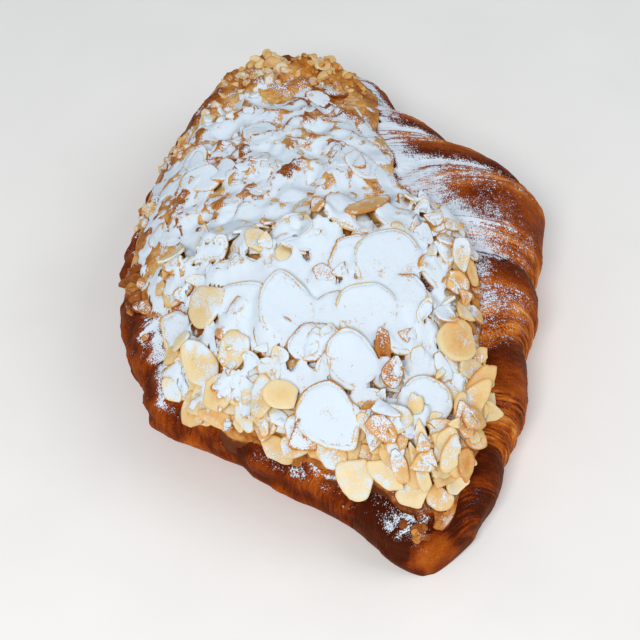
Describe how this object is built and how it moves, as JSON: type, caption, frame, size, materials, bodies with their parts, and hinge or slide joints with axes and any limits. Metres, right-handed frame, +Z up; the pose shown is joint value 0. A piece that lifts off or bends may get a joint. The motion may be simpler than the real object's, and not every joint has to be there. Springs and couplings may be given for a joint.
{
  "type": "almond croissant",
  "caption": "Straight rolled croissant with stepped, laminated wraps, topped with baked almond cream and a heap of flaked almonds.",
  "frame": {"origin": "middle of the bounding box, on the surface that the croissant rests on", "axes": "+Y along the roll towards its far, blunt end, +X to the right seen from the near tip, +Z up"},
  "size_m": [0.119, 0.172, 0.0558],
  "materials": {
    "crust": "baked laminated crust, semi-gloss",
    "almond": "baked almond cream and flaked almonds under powdered sugar, matt"
  },
  "bodies": {
    "root": {"croissant": "crust", "almond_topping": "almond"}
  },
  "joints": []
}
